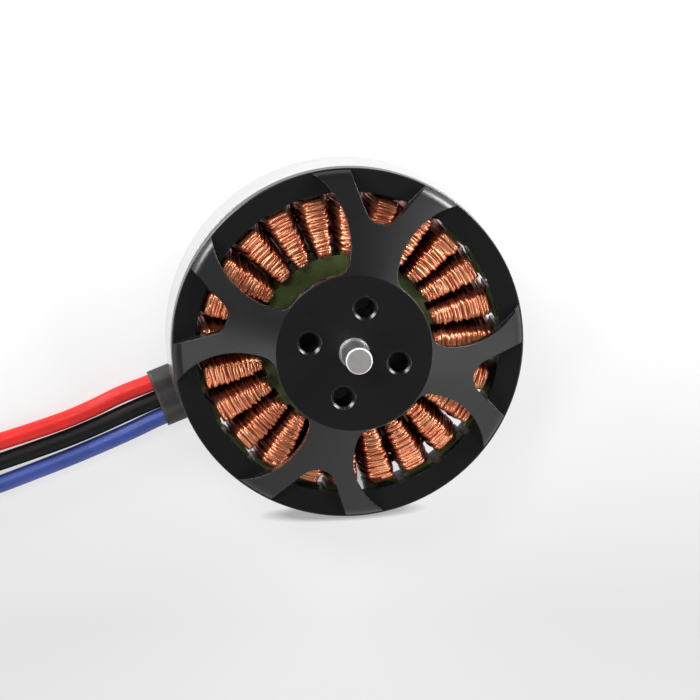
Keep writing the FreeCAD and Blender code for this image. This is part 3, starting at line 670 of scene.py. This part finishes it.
CROSSOVER_RADII = (15.6, 16.1, 16.6, 17.1, 17.6, 18.1, 18.6, 19.0)
CROSSOVER_WIRE = 0.30
CROSSOVER_LEVEL = 5.0
CROSSOVER_REACH = 1.1
CROSSOVER_SCATTER, CROSSOVER_LEAN = 0.08, 0.2
CROSSOVER_RISE, CROSSOVER_BOW = 0.7, 0.15
# Slots whose wires stop short: slot, and the radius from which it is open.
OPEN_FROM = {18: 17.8, 20: 18.8, 21: 17.0}
# Beyond this radius some wires are left out at random.
SPARSE_FROM, SPARSE_CHANCE = 18.3, 0.12
CROSSOVER_SEED = 77


def make_crossovers():
    """Wires that pass from winding to winding low in the slots, in the dark copy of the copper
    that paints their shade; a few slots have fewer.
    """
    rng = np.random.default_rng(CROSSOVER_SEED)
    up = np.array([0, 0, 1.0])
    steps = np.linspace(-1.0, 1.0, 5)
    verts, faces = [], []
    count = 0
    for slot in range(COIL_COUNT):
        middle = math.radians(COIL_TURN + COIL_PITCH * (slot + 0.5))
        out = np.array([math.cos(middle), math.sin(middle), 0.0])
        across = np.array([-out[1], out[0], 0.0])
        for radius in CROSSOVER_RADII:
            skipped = radius > SPARSE_FROM and rng.uniform() < SPARSE_CHANCE
            if skipped or radius > OPEN_FROM.get(slot, CROSSOVER_RADII[-1]):
                continue
            reach = radius + rng.normal() * CROSSOVER_SCATTER
            lean = rng.normal() * CROSSOVER_LEAN
            height = CROSSOVER_LEVEL + rng.uniform(0, CROSSOVER_RISE)
            path = [out * (reach + lean * t) + across * t * CROSSOVER_REACH for t in steps]
            path = [point + up * (height + CROSSOVER_BOW * t * t) for point, t in zip(path, steps)]
            points, tube_faces = capped_tube(np.array(path), up, CROSSOVER_WIRE, WIRE_SIDES, count)
            count += len(points)
            verts.append(points)
            faces += tube_faces
    # Painted shade: these wires take the dark copy of the copper.
    obj = new_object("crossover_wires", np.concatenate(verts) * MM, faces, "copper_depth")
    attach(obj, "stator")


# ---------------------------------------------------------------- leads

# Millimetres: where each lead passes after the sleeve, on its way to the plug.
LEAD_ROUTES = {
    "red": [
        (-28.6, -8.75, 1.5),
        (-32.2, -10.65, 1.15),
        (-37.0, -12.6, 1.15),
        (-51.6, -17.0, 1.15),
        (-66.4, -18.2, 1.15),
        (-81.2, -15.4, 1.15),
        (-95.9, -11.4, 2.35),
        (-109.5, -9.4, 2.35),
    ],
    "black": [
        (-27.7, -11.15, 1.5),
        (-31.6, -13.0, 1.15),
        (-36.6, -15.0, 1.15),
        (-50.8, -19.6, 1.15),
        (-65.9, -21.5, 1.15),
        (-80.9, -19.6, 1.15),
        (-96.3, -17.0, 2.35),
        (-110.6, -16.4, 2.35),
    ],
    "blue": [
        (-26.6, -13.4, 1.5),
        (-30.8, -15.3, 1.15),
        (-36.2, -17.5, 1.15),
        (-50.1, -22.6, 1.15),
        (-65.3, -24.7, 1.15),
        (-80.8, -24.2, 1.15),
        (-95.4, -23.0, 2.35),
        (-108.9, -23.2, 2.35),
    ],
}
LEAD_START, LEAD_BEND = 14.3, 25.8
SLEEVE_START, SLEEVE_END = 14.5, 25.5
SLEEVE_HALF_WIDTH, SLEEVE_HALF_HEIGHT = 3.85, 1.55
SLEEVE_SQUARENESS = 0.75
SLEEVE_VALLEY, SLEEVE_SHRINK, SLEEVE_WRINKLE = 0.10, 0.03, 0.02
SLEEVE_LIP, SLEEVE_LIP_LENGTH = 0.05, 0.5
# The sleeve's inside, as shares of its outside across and upwards.
BORE_ACROSS, BORE_UP = 0.895, 0.80
SLEEVE_SEED = 77
LEAD_LEVEL, LEAD_PITCH = 1.85, 2.3


def on_sleeve_line(distance, colour):
    """Point on a lead's straight stretch, at this distance from the shaft."""
    side = {"red": 1, "black": 0, "blue": -1}[colour]
    spot = SLEEVE_OUT * distance + SLEEVE_SIDE * side * LEAD_PITCH
    return Vector((spot.x, spot.y, LEAD_LEVEL)) * MM


def make_lead(colour):
    """Free cord from inside the sleeve to its plug."""
    route = [on_sleeve_line(LEAD_START, colour), on_sleeve_line(LEAD_BEND, colour)]
    route += [Vector(spot) * MM for spot in LEAD_ROUTES[colour]]
    data = bpy.data.curves.new(f"wire_{colour}", "CURVE")
    data.dimensions = "3D"
    data.bevel_depth = LEAD_RADIUS
    data.bevel_resolution = 8
    data.resolution_u = 16
    data.use_fill_caps = True
    spline = data.splines.new("NURBS")
    spline.points.add(len(route) - 1)
    for point, spot in zip(spline.points, route):
        point.co = (*spot, 1)
    spline.order_u = 3
    spline.use_endpoint_u = True
    spline.use_smooth = True
    data.materials.append(LOOKS[f"silicone_{colour}"])
    lead = bpy.data.objects.new(f"wire_{colour}", data)
    bpy.context.collection.objects.link(lead)
    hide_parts(f"lead_{colour}")
    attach(lead, "stator")


def make_sleeve():
    """Heat-shrink that has drawn down round three leads lying side by side."""
    stations, around = 27, 56
    rng = np.random.default_rng(SLEEVE_SEED)
    length = np.linspace(SLEEVE_START, SLEEVE_END, stations)
    angles = np.linspace(0, 2 * math.pi, around, endpoint=False)
    outer, inner = [], []
    wrinkle = smooth_noise(rng, stations, 4) * SLEEVE_WRINKLE
    for i, x in enumerate(length):
        lip = SLEEVE_LIP * math.exp(-((SLEEVE_END - x) / SLEEVE_LIP_LENGTH) ** 2)
        for angle in angles:
            share = np.sign(math.cos(angle)) * abs(math.cos(angle)) ** SLEEVE_SQUARENESS
            y = share * SLEEVE_HALF_WIDTH
            flat = np.clip((SLEEVE_HALF_WIDTH - abs(y)) / SLEEVE_HALF_HEIGHT, 0, 1)
            height = SLEEVE_HALF_HEIGHT * math.sqrt(max(0.0, 1 - (1 - flat) ** 2))
            valley = SLEEVE_VALLEY * math.cos(y / LEAD_PITCH * 2 * math.pi) - SLEEVE_VALLEY
            height += valley * flat + (wrinkle[i] - SLEEVE_SHRINK) * flat + lip * flat
            z = math.copysign(height, math.sin(angle)) if abs(math.sin(angle)) > 1e-6 else 0.0
            outer.append((x, y, z))
            inner.append((x, y * BORE_ACROSS, z * BORE_UP))
    verts = np.array(outer + inner)
    faces = [tuple(reversed(f)) for f in ring_faces(stations, around)]
    shift = stations * around
    faces += ring_faces(stations, around, shift)
    for base, flip in ((0, False), ((stations - 1) * around, True)):
        for j in range(around):
            k = (j + 1) % around
            quad = (base + j, base + k, shift + base + k, shift + base + j)
            faces.append(tuple(reversed(quad)) if flip else quad)
    c, s = math.cos(SLEEVE_ANGLE), math.sin(SLEEVE_ANGLE)
    x = verts[:, 0] * c - verts[:, 1] * s
    y = verts[:, 0] * s + verts[:, 1] * c
    z = verts[:, 2] + LEAD_LEVEL
    sleeve = new_object("sleeve", np.stack([x, y, z], axis=1) * MM, faces, "shrink_sleeve")
    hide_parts("lead_sleeve")
    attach(sleeve, "stator")
    return sleeve


# ---------------------------------------------------------------- the scene

bpy.context.scene.view_settings.view_transform = "Standard"
add_camera()
add_world()
for box_name, away, azimuth, elevation, box_size, box_power in SOFT_BOXES:
    add_area(box_name, polar_place(away, azimuth, elevation), box_size, box_power)
add_floor()
dress_cad()
heat_shrink = make_sleeve()
for lead_colour in COLOURS:
    make_lead(lead_colour)
for coil_index in range(COIL_COUNT):
    make_winding(coil_index)
make_crossovers()
